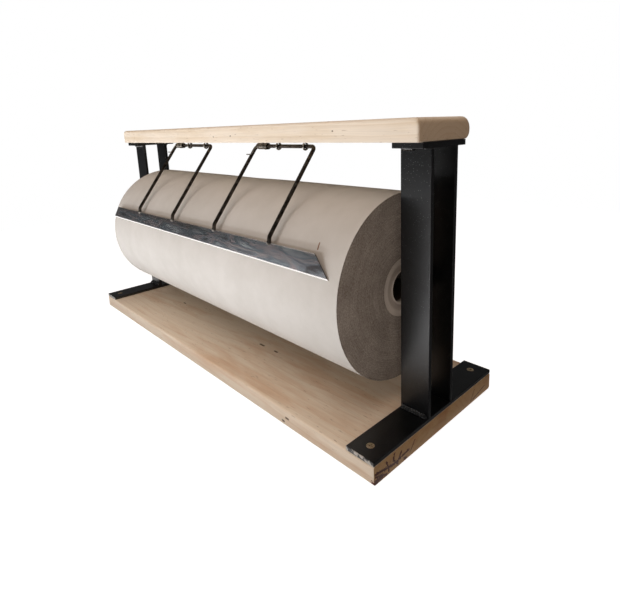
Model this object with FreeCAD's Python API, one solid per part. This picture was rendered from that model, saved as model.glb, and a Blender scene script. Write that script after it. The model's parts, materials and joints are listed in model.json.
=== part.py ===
"""Gift wrap paper cutter: a counter stand for one large roll of wrapping paper.

Two wooden planks are joined by a welded flat bar frame at each end. The roll hangs by its core on a
round rod that lies in notched cradles between the uprights. A steel tear blade is welded to two wire
bails, which swing in screw eyes under the top plank and are pressed on the paper by torsion springs.

X runs along the roll, Y from the front to the back and Z up. The origin is the middle of the base
plank's underside. All sizes are in millimetres.
"""
import FreeCAD, Part
import math
import os

Vector = FreeCAD.Vector

# Wooden planks, with the radii of their hand rounded edges
base_depth = 240.0
base_thickness = 22.0
base_upper_radius = 2.5
base_lower_radius = 3.0
top_depth = 97.0
top_thickness = 24.0
top_backward = 1.0
top_front_upper_radius = 4.0
top_front_lower_radius = 1.5
top_back_upper_radius = 8.0
top_back_lower_radius = 12.0
top_end_upper_radius = 9.0
top_end_lower_radius = 4.0
top_corner_radius = 4.0

# Flat bar end frames
bar_width = 38.0
bar_thickness = 5.0
bar_edge_radius = 0.7
upright_height = 300.0
slot_width = 40.0
plate_overhang = 15.0
plate_thickness = 6.0
top_joint_gap = 1.2

# Weld beads
foot_bead_leg = 5.0
plate_bead_leg = 3.5
bead_end_inset = 1.0

# Countersunk screws that hold the feet to the base plank
foot_screw_end_distance = 17.5
foot_screw_head_diameter = 9.0
foot_screw_shank_diameter = 4.4
foot_screw_head_height = 2.4
foot_screw_length = 20.0

# Countersunk screws that hold the top plates to the top plank
plate_screw_head_diameter = 7.0
plate_screw_shank_diameter = 3.6
plate_screw_head_height = 2.0
plate_screw_length = 20.0

# Cross recess in every screw head
recess_width = 1.0
recess_depth = 1.1
recess_share_of_head = 0.55

# Support rod and its cradles
rod_diameter = 12.0
rod_end_chamfer = 1.0
rod_past_cradle = 13.0
rod_clearance = 0.3
cradle_thickness = 5.0
cradle_below_rod = 14.0
cradle_above_rod = 12.0

# Paper roll, its thick cardboard core and the space at each end
roll_length = 600.0
roll_diameter = 224.0
roll_left_gap = 29.0
roll_right_gap = 15.0
core_bore = 38.0
core_wall = 16.5

# Wire bails and the screw eyes that they swing in
bail_wire_diameter = 5.0
bail_arm_pitch = 122.7
bail_right_of_middle = 8.5
bail_corner_radius = 6.0
bail_knee_radius = 8.0
bail_tail_length = 7.0
pivot_forward = 26.1
eye_wire_diameter = 2.6
eye_clearance = 0.3
eye_shank_depth = 14.0
eye_from_left_arm = 50.5
eye_from_right_arm = 18.0

# Torsion springs
spring_wire_diameter = 1.6
spring_clearance = 0.4
spring_turn_gap = 0.55
spring_full_turns = 11
spring_from_arm = 5.3
spring_leg_length = 17.0
spring_hook_past_arm = 4.0
spring_hook_radius = 1.9
spring_foot_reach = 8.5
spring_foot_radius = 2.4
spring_plank_gap = 0.3

# Tear blade
blade_short_of_roll = 14.0
blade_left_width = 20.6
blade_right_width = 25.2
blade_thickness = 1.5
blade_bevel_height = 2.0
blade_edge_land = 0.4
blade_left_slant = 20.2
blade_right_slant = 21.6
blade_paper_gap = 0.3
blade_contact_degrees = 163.4
blade_lean_degrees = 10.0
blade_bead_radius = 3.5
blade_bead_paper_gap = 0.6

# Heights and places that follow from the driving sizes
stand_length = roll_length + roll_left_gap + roll_right_gap + 2 * bar_width
blade_length = roll_length - blade_short_of_roll
foot_top = base_thickness + bar_thickness
plate_bottom = foot_top + upright_height
plank_bottom = plate_bottom + plate_thickness
frame_inner_x = stand_length / 2 - bar_width
frame_middle_x = stand_length / 2 - bar_width / 2
upright_outer_y = slot_width / 2 + bar_thickness
plate_half_depth = upright_outer_y + plate_overhang
plate_screw_y = upright_outer_y + (plate_bead_leg + plate_overhang) / 2
foot_screw_y = base_depth / 2 - foot_screw_end_distance

rod_radius = rod_diameter / 2
rod_z = foot_top + upright_height / 2
rod_half_length = frame_inner_x + cradle_thickness + rod_past_cradle
roll_radius = roll_diameter / 2
roll_z = rod_z + rod_radius + rod_clearance - core_bore / 2
roll_left_x = roll_left_gap - frame_inner_x

bail_radius = bail_wire_diameter / 2
eye_ring_radius = bail_radius + eye_clearance + eye_wire_diameter / 2
pivot_y = -pivot_forward
pivot_z = plank_bottom - eye_ring_radius - eye_wire_diameter / 2
spring_radius = bail_radius + spring_clearance + spring_wire_diameter / 2
spring_pitch = spring_wire_diameter + spring_turn_gap

# The blade's lower edge lies on the paper and its upper edge leans away from it. up_y, up_z point up its face
# and out_y, out_z away from the roll.
contact = math.radians(blade_contact_degrees)
edge_y = (roll_radius + blade_paper_gap) * math.cos(contact)
edge_z = roll_z + (roll_radius + blade_paper_gap) * math.sin(contact)
facing = contact + math.radians(blade_lean_degrees)
out_y, out_z = math.cos(facing), math.sin(facing)
up_y, up_z = math.sin(facing), -math.cos(facing)


def box(x_low, x_high, y_low, y_high, z_low, z_high):
    size = (x_high - x_low, y_high - y_low, z_high - z_low)
    return Part.makeBox(size[0], size[1], size[2], Vector(x_low, y_low, z_low))


def eased(shape, radius, axes="XYZ"):
    """Round the straight edges that run along the named axes."""
    unit = {"X": Vector(1, 0, 0), "Y": Vector(0, 1, 0), "Z": Vector(0, 0, 1)}
    chosen = []
    for edge in shape.Edges:
        along = (edge.Vertexes[1].Point - edge.Vertexes[0].Point).normalize()
        if any(abs(along.dot(unit[axis])) > 0.99 for axis in axes):
            chosen.append(edge)
    return shape.makeFillet(radius, chosen)


def group(shapes):
    """Several separate solids in one node."""
    return Part.makeCompound(shapes)


def frame_span(side):
    """The X range of the end frame on the left (-1) or the right (+1)."""
    near, far = side * frame_inner_x, side * stand_length / 2
    return min(near, far), max(near, far)


def blade_point(up, out, x=0.0):
    """A point measured up the blade's back face from its lower edge, and out from that face."""
    return Vector(x, edge_y + up * up_y + out * out_y, edge_z + up * up_z + out * out_z)


# Screws

def countersunk_screw(head_diameter, shank_diameter, head_height, length, turn_degrees):
    """A cross head screw with its head's flat top at the origin, pointing down."""
    head_radius, shank_radius = head_diameter / 2, shank_diameter / 2
    tip = shank_diameter
    head = Part.makeCone(head_radius, shank_radius, head_height, Vector(0, 0, 0), Vector(0, 0, -1))
    shank = Part.makeCylinder(
        shank_radius, length - head_height - tip, Vector(0, 0, -head_height), Vector(0, 0, -1))
    point = Part.makeCone(
        shank_radius, shank_radius / 4, tip, Vector(0, 0, tip - length), Vector(0, 0, -1))
    screw = head.fuse([shank, point]).removeSplitter()
    arm = recess_share_of_head * head_radius
    half = recess_width / 2
    along = box(-arm, arm, -half, half, -recess_depth, 1)
    across = box(-half, half, -arm, arm, -recess_depth, 1)
    recess = along.fuse(across)
    recess.rotate(Vector(0, 0, 0), Vector(0, 0, 1), turn_degrees)
    return screw.cut(recess)


def screw_envelope(head_diameter, shank_diameter, head_height, length):
    """The hole that a screw fills: the screw without its cross recess."""
    head_radius, shank_radius = head_diameter / 2, shank_diameter / 2
    tip = shank_diameter
    head = Part.makeCone(head_radius, shank_radius, head_height, Vector(0, 0, 0), Vector(0, 0, -1))
    shank = Part.makeCylinder(
        shank_radius, length - head_height - tip, Vector(0, 0, -head_height), Vector(0, 0, -1))
    point = Part.makeCone(
        shank_radius, shank_radius / 4, tip, Vector(0, 0, tip - length), Vector(0, 0, -1))
    return head.fuse([shank, point]).removeSplitter()


def foot_screw_places():
    return [Vector(sx * frame_middle_x, sy * foot_screw_y, foot_top) for sx in (-1, 1) for sy in (-1, 1)]


def plate_screw_places():
    return [Vector(sx * frame_middle_x, sy * plate_screw_y, plate_bottom) for sx in (-1, 1) for sy in (-1, 1)]


def place_screws(make, places, upwards):
    """Put one screw, or one hole, at each place, driven down or up."""
    placed = []
    for number, place in enumerate(places):
        shape = make(25 + 40 * number)
        if upwards:
            shape.rotate(Vector(0, 0, 0), Vector(1, 0, 0), 180)
        shape.translate(place)
        placed.append(shape)
    return placed


def foot_screws(holes=False):
    sizes = (foot_screw_head_diameter, foot_screw_shank_diameter, foot_screw_head_height, foot_screw_length)
    make = (lambda turn: screw_envelope(*sizes)) if holes else (lambda turn: countersunk_screw(*sizes, turn))
    return place_screws(make, foot_screw_places(), upwards=False)


def plate_screws(holes=False):
    sizes = (plate_screw_head_diameter, plate_screw_shank_diameter, plate_screw_head_height, plate_screw_length)
    make = (lambda turn: screw_envelope(*sizes)) if holes else (lambda turn: countersunk_screw(*sizes, turn))
    return place_screws(make, plate_screw_places(), upwards=True)


# Planks

def rounded_bar(corners, radii, along):
    """A bar whose section has a radius of its own at each corner."""
    middle = (corners[0] + corners[-1]) * 0.5
    outline = Part.Wire(rounded_path([middle] + corners + [middle], radii))
    return Part.Face(outline).extrude(along)


def plank_section(front, back, bottom, top, radii):
    """The section across a plank, run over its whole length. The radii start at the lower front edge."""
    left = -stand_length / 2
    corners = [Vector(left, y, z) for y, z in ((front, bottom), (back, bottom), (back, top), (front, top))]
    return rounded_bar(corners, radii, Vector(stand_length, 0, 0))


def base_plank():
    """A board with rounded long edges and sawn ends."""
    radii = [base_lower_radius, base_lower_radius, base_upper_radius, base_upper_radius]
    plank = plank_section(-base_depth / 2, base_depth / 2, 0, base_thickness, radii)
    return plank.cut(group(foot_screws(holes=True)))


def top_plank():
    """A board that is rounded differently along the front, along the back and at its ends."""
    front, back = top_backward - top_depth / 2, top_backward + top_depth / 2
    bottom, top = plank_bottom, plank_bottom + top_thickness
    half = stand_length / 2
    across = [top_front_lower_radius, top_back_lower_radius, top_back_upper_radius, top_front_upper_radius]
    plank = plank_section(front, back, bottom, top, across)
    side = [Vector(x, front, z) for x, z in ((-half, bottom), (half, bottom), (half, top), (-half, top))]
    ends = [top_end_lower_radius, top_end_lower_radius, top_end_upper_radius, top_end_upper_radius]
    plank = plank.common(rounded_bar(side, ends, Vector(0, top_depth, 0)))
    plan = [Vector(x, y, bottom) for x, y in ((-half, front), (half, front), (half, back), (-half, back))]
    plank = plank.common(rounded_bar(plan, [top_corner_radius] * 4, Vector(0, 0, top_thickness)))
    return plank.cut(group(plate_screws(holes=True) + [eye_shank(x) for x in eye_places()]))


# End frames

def foot(side):
    low, high = frame_span(side)
    bar = eased(box(low, high, -base_depth / 2, base_depth / 2, base_thickness, foot_top), bar_edge_radius)
    return bar.cut(group(foot_screws(holes=True)))


def upright(side, row):
    """One of the two flat bars of an end frame, at the front (-1) or the back (+1) of the slot."""
    low, high = frame_span(side)
    near, far = sorted((row * slot_width / 2, row * upright_outer_y))
    bar = eased(box(low, high, near, far, foot_top, plate_bottom), bar_edge_radius, "Z")
    if side > 0 and row < 0:
        middle = (low + high) / 2
        bar = bar.cut(box(middle, high, near, far, plate_bottom - top_joint_gap, plate_bottom))
    return bar


def top_plate(side):
    low, high = frame_span(side)
    plate = box(low, high, -plate_half_depth, plate_half_depth, plate_bottom, plank_bottom)
    return eased(plate, bar_edge_radius, "XZ").cut(group(plate_screws(holes=True)))


def rod_cradle(side):
    """A plate between the uprights with a notch that is open at the top, where the rod lies."""
    inner = side * frame_inner_x
    outer = inner + side * cradle_thickness
    low, high = min(inner, outer), max(inner, outer)
    half = slot_width / 2
    plate = box(low, high, -half, half, rod_z - cradle_below_rod, rod_z + cradle_above_rod)
    notch_radius = rod_radius + rod_clearance
    round_end = Part.makeCylinder(notch_radius, cradle_thickness, Vector(low, 0, rod_z), Vector(1, 0, 0))
    mouth = box(low, high, -notch_radius, notch_radius, rod_z, rod_z + cradle_above_rod)
    return plate.cut(round_end.fuse(mouth))


def fillet_bead(x_low, x_high, corner_y, corner_z, outward, upward, leg):
    """A convex weld bead in the corner between an upright's outer face and a level face."""
    corner = Vector(x_low, corner_y, corner_z)
    on_level = corner + Vector(0, outward * leg, 0)
    on_upright = corner + Vector(0, 0, upward * leg)
    crown = corner + Vector(0, outward * leg * 0.62, upward * leg * 0.62)
    face = Part.Wire([
        Part.makeLine(corner, on_level),
        Part.Arc(on_level, crown, on_upright).toShape(),
        Part.makeLine(on_upright, corner),
    ])
    return Part.Face(face).extrude(Vector(x_high - x_low, 0, 0))


def frame_welds(side):
    """Beads where the uprights meet the foot and the top plate."""
    low, high = frame_span(side)
    start, end = low + bead_end_inset, high - bead_end_inset
    beads = []
    for row in (-1, 1):
        face_y = row * upright_outer_y
        beads.append(fillet_bead(start, end, face_y, foot_top, row, 1, foot_bead_leg))
        last = (low + high) / 2 if side > 0 and row < 0 else end
        beads.append(fillet_bead(start, last, face_y, plate_bottom, row, -1, plate_bead_leg))
    return group(beads)


# Support rod and roll

def support_rod():
    rod = Part.makeCylinder(rod_radius, 2 * rod_half_length, Vector(-rod_half_length, 0, rod_z), Vector(1, 0, 0))
    ends = [edge for edge in rod.Edges if len(edge.Vertexes) == 1]
    return rod.makeChamfer(rod_end_chamfer, ends)


def tube_on_roll_axis(outer_radius, inner_radius):
    start = Vector(roll_left_x, 0, roll_z)
    along = Vector(1, 0, 0)
    outer = Part.makeCylinder(outer_radius, roll_length, start, along)
    return outer.cut(Part.makeCylinder(inner_radius, roll_length, start, along))


def roll_core():
    return tube_on_roll_axis(core_bore / 2 + core_wall, core_bore / 2)


def paper_roll():
    return tube_on_roll_axis(roll_radius, core_bore / 2 + core_wall)


# Tear blade and bails

def cutting_blade():
    """A strip that narrows to the left, with slanted ends and a bevel ground along its lower edge."""
    half = blade_length / 2
    corners = [
        blade_point(0, 0, -half),
        blade_point(0, 0, half),
        blade_point(blade_right_width, 0, half - blade_right_slant),
        blade_point(blade_left_width, 0, blade_left_slant - half),
    ]
    through = Vector(0, out_y * blade_thickness, out_z * blade_thickness)
    strip = Part.Face(Part.makePolygon(corners + corners[:1])).extrude(through)
    return strip.cut(bevel_cut())


def bevel_cut():
    """What is ground off the front face along the blade's lower edge."""
    margin = blade_thickness
    beyond = blade_thickness + margin
    section = [
        (0, blade_edge_land),
        (blade_bevel_height, blade_thickness),
        (blade_bevel_height, beyond),
        (-margin, beyond),
        (-margin, blade_edge_land),
    ]
    points = [blade_point(up, out, -blade_length / 2 - margin) for up, out in section]
    return Part.Face(Part.makePolygon(points + points[:1])).extrude(Vector(blade_length + 2 * margin, 0, 0))


def blade_width_at(x):
    """The blade's width at x, between its narrow left end and its wide right end."""
    top_left = blade_left_slant - blade_length / 2
    top_right = blade_length / 2 - blade_right_slant
    share = (x - top_left) / (top_right - top_left)
    return blade_left_width + share * (blade_right_width - blade_left_width)


def arm_places():
    """The X of the four bail arms, from left to right."""
    return [bail_right_of_middle + bail_arm_pitch * (number - 1.5) for number in range(4)]


def arm_foot(x):
    """The end of a bail arm, in the middle of the blade's upper edge."""
    return blade_point(blade_width_at(x), blade_thickness / 2, x)


def arm_knee(x):
    return blade_point(blade_width_at(x) + bail_tail_length, blade_thickness / 2, x)


def rounded_path(points, radii):
    """Straight runs joined by tangent arcs, one radius for each inner point."""
    edges = []
    start = points[0]
    for before, corner, after, radius in zip(points, points[1:], points[2:], radii):
        back = (before - corner).normalize()
        onward = (after - corner).normalize()
        half_turn = (math.pi - back.getAngle(onward)) / 2
        reach = radius * math.tan(half_turn)
        first = corner + back * reach
        last = corner + onward * reach
        inward = (back + onward).normalize()
        middle = corner + inward * (radius / math.cos(half_turn) - radius)
        edges.append(Part.makeLine(start, first))
        edges.append(Part.Arc(first, middle, last).toShape())
        start = last
    edges.append(Part.makeLine(start, points[-1]))
    return edges


def wire_along(edges, diameter):
    """A round wire swept along a path of joined edges."""
    path = Part.Wire(edges)
    first = edges[0]
    start = first.valueAt(first.FirstParameter)
    heading = first.tangentAt(first.FirstParameter)
    ring = Part.Wire(Part.makeCircle(diameter / 2, start, heading))
    return path.makePipeShell([ring], True, False)


def bail(left_arm, right_arm):
    """One bent wire: up the left arm, along the pivot line and down the right arm."""
    points = [
        arm_foot(left_arm),
        arm_knee(left_arm),
        Vector(left_arm, pivot_y, pivot_z),
        Vector(right_arm, pivot_y, pivot_z),
        arm_knee(right_arm),
        arm_foot(right_arm),
    ]
    radii = [bail_knee_radius, bail_corner_radius, bail_corner_radius, bail_knee_radius]
    return wire_along(rounded_path(points, radii), bail_wire_diameter)


def blade_welds(blade, bails):
    """A small bead round the foot of each bail arm, ground back where it would touch the paper."""
    ground_radius = roll_radius + blade_bead_paper_gap
    ground = Part.makeCylinder(ground_radius, roll_length, Vector(roll_left_x, 0, roll_z), Vector(1, 0, 0))
    beads = []
    for x in arm_places():
        bead = Part.makeSphere(blade_bead_radius, arm_foot(x))
        beads.append(bead.cut(group([blade, ground] + bails)))
    return group(beads)


# Screw eyes

def eye_places():
    arms = arm_places()
    places = []
    for left_arm, right_arm in ((arms[0], arms[1]), (arms[2], arms[3])):
        places += [left_arm + eye_from_left_arm, right_arm - eye_from_right_arm]
    return places


def eye_shank(x):
    """The pointed shank, from the top of the ring's wire up into the plank."""
    radius = eye_wire_diameter / 2
    bottom = pivot_z + eye_ring_radius
    straight = plank_bottom + eye_shank_depth - 2 * radius - bottom
    rod = Part.makeCylinder(radius, straight, Vector(x, pivot_y, bottom))
    point = Part.makeCone(radius, radius / 4, 2 * radius, Vector(x, pivot_y, bottom + straight))
    return rod.fuse(point).removeSplitter()


def screw_eye(x):
    centre = Vector(x, pivot_y, pivot_z)
    ring = Part.makeTorus(eye_ring_radius, eye_wire_diameter / 2, centre, Vector(1, 0, 0))
    return ring.fuse(eye_shank(x))


# Torsion springs

def coil_point(arm_x, angle):
    """A point of the coil's centre line and its heading, at an angle that falls from the start."""
    turned = spring_start_angle(arm_x) - angle
    x = arm_x + spring_from_arm + spring_pitch * turned / (2 * math.pi)
    point = Vector(x, pivot_y + spring_radius * math.cos(angle), pivot_z + spring_radius * math.sin(angle))
    rise = spring_pitch / (2 * math.pi)
    heading = Vector(rise, spring_radius * math.sin(angle), -spring_radius * math.cos(angle)).normalize()
    return point, heading


def arm_direction(x):
    """The way down a bail arm, from its pivot to its knee."""
    return (arm_knee(x) - Vector(x, pivot_y, pivot_z)).normalize()


def spring_start_angle(arm_x):
    """Where the leg that lies along the front of the arm joins the coil."""
    down = arm_direction(arm_x)
    return math.atan2(-down.y, down.z) % (2 * math.pi)


def biarc(start, start_heading, end, end_heading):
    """Two arcs that leave the start and reach the end along the given headings."""
    gap = end - start
    both = start_heading + end_heading
    a = 2 * (1 - start_heading.dot(end_heading))
    b = 2 * gap.dot(both)
    c = -gap.dot(gap)
    reach = -c / b if abs(a) < 1e-9 else (-b + math.sqrt(b * b - 4 * a * c)) / (2 * a)
    first_corner = start + start_heading * reach
    last_corner = end - end_heading * reach
    joint = (first_corner + last_corner) * 0.5
    return [tangent_arc(start, first_corner, joint), tangent_arc(joint, last_corner, end)]


def tangent_arc(start, corner, end):
    """The arc that touches both lines from the corner, which lies as far from start as from end."""
    back = (start - corner).normalize()
    onward = (end - corner).normalize()
    half = back.getAngle(onward) / 2
    reach = (start - corner).Length
    inward = (back + onward).normalize()
    middle = corner + inward * (reach / math.cos(half) - reach * math.tan(half))
    return Part.Arc(start, middle, end).toShape()


def spring_path(arm_x):
    """Hook over the arm, leg, coil round the bail, and a foot that presses up on the plank."""
    start_angle = spring_start_angle(arm_x)
    last_angle = -math.pi / 2 - 2 * math.pi * (spring_full_turns - 1)
    top, heading = coil_point(arm_x, start_angle)
    corner = top - heading * spring_leg_length
    tip = Vector(arm_x - bail_radius - spring_hook_past_arm, corner.y, corner.z)
    edges = rounded_path([tip, corner, top], [spring_hook_radius])
    half_turns = math.floor((start_angle - last_angle) / math.pi)
    stops = [start_angle - math.pi * number for number in range(half_turns + 1)] + [last_angle]
    for here, there in zip(stops, stops[1:]):
        edges += biarc(*coil_point(arm_x, here), *coil_point(arm_x, there))
    end, onward = coil_point(arm_x, last_angle)
    foot_corner = end + onward * spring_foot_reach
    foot_tip = Vector(foot_corner.x, foot_corner.y, plank_bottom - spring_plank_gap)
    return edges + rounded_path([end, foot_corner, foot_tip], [spring_foot_radius])


def least_gap(edges, diameter):
    """The least space between parts of one wire that are more than three diameters apart along it."""
    points = []
    run = 0.0
    for edge in edges:
        count = max(2, int(edge.Length / 0.5))
        for number in range(count):
            share = number / count
            at = edge.FirstParameter + share * (edge.LastParameter - edge.FirstParameter)
            points.append((run + share * edge.Length, edge.valueAt(at)))
        run += edge.Length
    least = run
    for number, (here, point) in enumerate(points):
        for there, other in points[number + 1:]:
            if there - here > 3 * diameter:
                least = min(least, point.distanceToPoint(other))
    return least - diameter


def torsion_spring(arm_x):
    edges = spring_path(arm_x)
    turns = (spring_start_angle(arm_x) + math.pi / 2) / (2 * math.pi) + spring_full_turns - 1
    length = sum(edge.Length for edge in edges)
    spring = wire_along(edges, spring_wire_diameter)
    print("spring at x %.1f: %.2f turns, wire %.1f mm long, least gap %.2f mm, volume share %.4f" % (
        arm_x, turns, length, least_gap(edges, spring_wire_diameter),
        spring.Volume / (math.pi * spring_wire_diameter ** 2 / 4 * length)))
    return spring


def build():
    arms = arm_places()
    blade = cutting_blade()
    bails = [bail(arms[0], arms[1]).cut(blade), bail(arms[2], arms[3]).cut(blade)]
    nodes = {
        "base_plank": base_plank(),
        "top_plank": top_plank(),
        "foot_screws": group(foot_screws()),
        "plate_screws": group(plate_screws()),
        "bail_eyes": group([screw_eye(x) for x in eye_places()]),
        "left_bail": bails[0],
        "right_bail": bails[1],
        "left_spring": torsion_spring(arms[0]),
        "right_spring": torsion_spring(arms[2]),
        "cutting_blade": blade,
        "blade_welds": blade_welds(blade, bails),
        "support_rod": support_rod(),
        "roll_core": roll_core(),
        "paper_roll": paper_roll(),
    }
    for name, side in (("left", -1), ("right", 1)):
        nodes[name + "_foot"] = foot(side)
        nodes[name + "_front_upright"] = upright(side, -1)
        nodes[name + "_rear_upright"] = upright(side, 1)
        nodes[name + "_top_plate"] = top_plate(side)
        nodes[name + "_rod_cradle"] = rod_cradle(side)
        nodes[name + "_frame_welds"] = frame_welds(side)
    return nodes


def arm_paper_clearance(x):
    """How far a bail arm clears the full roll."""
    to_axis = Vector(0, -pivot_y, roll_z - pivot_z)
    return to_axis.cross(arm_direction(x)).Length - bail_radius - roll_radius


os.makedirs("parts", exist_ok=True)
for node, shape in build().items():
    shape.exportStep("parts/" + node + ".step")
    print("%-20s solids %d  volume %.0f  valid %s" % (node, len(shape.Solids), shape.Volume, shape.isValid()))
print("bail arms clear the paper by " + ", ".join("%.2f mm" % arm_paper_clearance(x) for x in arm_places()))
print("pivot y %.2f z %.2f, roll axis z %.2f, rod z %.2f" % (pivot_y, pivot_z, roll_z, rod_z))
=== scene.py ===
"""Looks of a gift wrap paper cutter: two pine planks, an enamelled flat bar frame at each end, a large roll
of wrapping paper on a rod, and a steel tear blade that two sprung wire bails press on the paper.

Everything is in metres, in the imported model's frame: X along the roll, Y from front to back, Z up.
"""
import bpy
import json
import math
from mathutils import Matrix, Vector, noise


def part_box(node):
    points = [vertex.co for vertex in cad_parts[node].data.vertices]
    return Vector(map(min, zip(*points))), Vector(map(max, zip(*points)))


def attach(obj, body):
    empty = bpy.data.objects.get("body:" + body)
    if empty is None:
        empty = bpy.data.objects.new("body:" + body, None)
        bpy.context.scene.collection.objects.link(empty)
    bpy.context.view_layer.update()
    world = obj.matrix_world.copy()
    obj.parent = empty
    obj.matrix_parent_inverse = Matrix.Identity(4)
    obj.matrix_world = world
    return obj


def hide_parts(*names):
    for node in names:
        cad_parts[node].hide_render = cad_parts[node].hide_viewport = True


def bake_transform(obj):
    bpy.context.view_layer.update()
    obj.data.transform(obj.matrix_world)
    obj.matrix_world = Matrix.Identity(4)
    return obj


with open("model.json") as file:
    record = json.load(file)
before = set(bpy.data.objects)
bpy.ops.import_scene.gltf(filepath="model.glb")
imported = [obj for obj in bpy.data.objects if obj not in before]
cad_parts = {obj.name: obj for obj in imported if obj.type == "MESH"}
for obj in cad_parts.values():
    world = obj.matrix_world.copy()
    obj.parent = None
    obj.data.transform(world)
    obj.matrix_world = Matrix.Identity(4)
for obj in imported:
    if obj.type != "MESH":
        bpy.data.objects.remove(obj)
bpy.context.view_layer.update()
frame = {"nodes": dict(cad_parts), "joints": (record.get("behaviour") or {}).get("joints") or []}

MM = 0.001

# Sizes that the pieces modelled here share with the construction
bail_wire_radius = 2.5 * MM
spring_wire_radius = 0.8 * MM
spring_coil_radius = bail_wire_radius + 0.4 * MM + spring_wire_radius
spring_pitch = 2.15 * MM
spring_full_turns = 11
spring_from_arm = 5.3 * MM
spring_leg = 17.0 * MM
spring_hook_past_arm = 4.0 * MM
spring_hook_radius = 1.9 * MM
spring_foot_reach = 8.5 * MM
spring_foot_radius = 2.4 * MM
spring_plank_gap = 0.3 * MM
eye_wire_radius = 1.3 * MM
eye_ring_radius = bail_wire_radius + 0.3 * MM + eye_wire_radius
eye_shank_depth = 14.0 * MM
eye_from_left_arm = 50.5 * MM
eye_from_right_arm = 18.0 * MM
foot_bead_leg = 5.0 * MM
plate_bead_leg = 3.5 * MM
blade_bead_radius = 3.5 * MM
blade_contact_degrees = 163.4
blade_lean_degrees = 10.0
blade_left_width = 20.6 * MM
blade_right_width = 25.2 * MM
blade_left_slant = 20.2 * MM
blade_right_slant = 21.6 * MM
blade_thickness = 1.5 * MM
blade_paper_gap = 0.3 * MM
bail_tail_length = 7.0 * MM

# Where the frame puts things
swing = next(joint for joint in frame["joints"] if joint["name"] == "blade_swing")
pivot_y, pivot_z = swing["pos_m"][1], swing["pos_m"][2]
spin = next(joint for joint in frame["joints"] if joint["name"] == "roll_spin")
roll_y, roll_z = spin["pos_m"][1], spin["pos_m"][2]
plank_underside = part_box("top_plank")[0].z
stand_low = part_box("base_plank")[0]
roll_low, roll_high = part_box("paper_roll")
roll_radius = (roll_high.y - roll_low.y) / 2
core_low, core_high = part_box("roll_core")
core_radius = (core_high.y - core_low.y) / 2
core_bore_radius = core_radius - 16.5 * MM
contact = math.radians(blade_contact_degrees)
facing = contact + math.radians(blade_lean_degrees)
blade_edge = Vector((0, roll_y + (roll_radius + blade_paper_gap) * math.cos(contact),
                     roll_z + (roll_radius + blade_paper_gap) * math.sin(contact)))
blade_out = Vector((0, math.cos(facing), math.sin(facing)))
blade_up = Vector((0, math.sin(facing), -math.cos(facing)))


# Mesh making

def new_piece(name, vertices, faces, finish, body, sharp_degrees=35):
    """A mesh piece with one finish, riding on a body. Edges sharper than the angle stay crisp."""
    mesh = bpy.data.meshes.new(name)
    mesh.from_pydata([tuple(v) for v in vertices], [], faces)
    mesh.validate()
    mesh.polygons.foreach_set("use_smooth", [True] * len(mesh.polygons))
    mesh.set_sharp_from_angle(angle=math.radians(sharp_degrees))
    mesh.materials.append(finish)
    piece = bpy.data.objects.new(name, mesh)
    bpy.context.scene.collection.objects.link(piece)
    if body:
        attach(piece, body)
    return piece


def skin(rings, cap_ends=True, closed=True):
    """Quads between rings of points, with the two ends filled. Returns vertices and faces."""
    count = len(rings[0])
    vertices = [point for ring in rings for point in ring]
    faces = []
    span = count if closed else count - 1
    for row in range(len(rings) - 1):
        here, there = row * count, (row + 1) * count
        for k in range(span):
            n = (k + 1) % count
            faces.append((here + k, here + n, there + n, there + k))
    if cap_ends:
        faces.append(tuple(reversed(range(count))))
        faces.append(tuple(range(len(vertices) - count, len(vertices))))
    return vertices, faces


def joined(parts):
    """Several (vertices, faces) lists as one."""
    vertices, faces = [], []
    for some_vertices, some_faces in parts:
        start = len(vertices)
        vertices += some_vertices
        faces += [tuple(start + index for index in face) for face in some_faces]
    return vertices, faces


def rounded_line(points, radii, steps=8):
    """The points of straight runs joined by tangent arcs, one radius for each inner point."""
    line = [points[0]]
    for before, corner, after, radius in zip(points, points[1:], points[2:], radii):
        back, onward = (before - corner).normalized(), (after - corner).normalized()
        half_turn = (math.pi - back.angle(onward)) / 2
        first = corner + back * radius * math.tan(half_turn)
        inward = (back + onward).normalized()
        centre = corner + inward * radius / math.cos(half_turn)
        spoke = first - centre
        axis = back.cross(onward).normalized()
        for step in range(steps + 1):
            line.append(centre + Matrix.Rotation(-2 * half_turn * step / steps, 3, axis) @ spoke)
    line.append(points[-1])
    return line


def wire_skin(line, radius, sides=12, taper=None):
    """A round wire along a line of points, carried along without twist."""
    heading = (line[1] - line[0]).normalized()
    side = heading.orthogonal().normalized()
    rings = []
    for number, point in enumerate(line):
        before, after = line[max(number - 1, 0)], line[min(number + 1, len(line) - 1)]
        new_heading = (after - before).normalized()
        side = (side - new_heading * side.dot(new_heading)).normalized()
        across = new_heading.cross(side)
        r = radius * (taper(number / (len(line) - 1)) if taper else 1)
        rings.append([point + (side * math.cos(a) + across * math.sin(a)) * r
                      for a in (2 * math.pi * k / sides for k in range(sides))])
    return skin(rings)


def arc_points(centre, radius, start_degrees, steps):
    """A quarter circle in the plane of a plank's section, as (y, z) pairs."""
    made = []
    for step in range(steps + 1):
        angle = math.radians(start_degrees + 90 * step / steps)
        made.append((centre[0] + radius * math.cos(angle), centre[1] + radius * math.sin(angle)))
    return made


# Material making

def colour(hex_code):
    """An sRGB hex colour as linear red, green, blue and alpha."""
    parts = [int(hex_code[k:k + 2], 16) / 255 for k in (1, 3, 5)]
    return [c / 12.92 if c <= 0.04045 else ((c + 0.055) / 1.055) ** 2.4 for c in parts] + [1.0]


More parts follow.
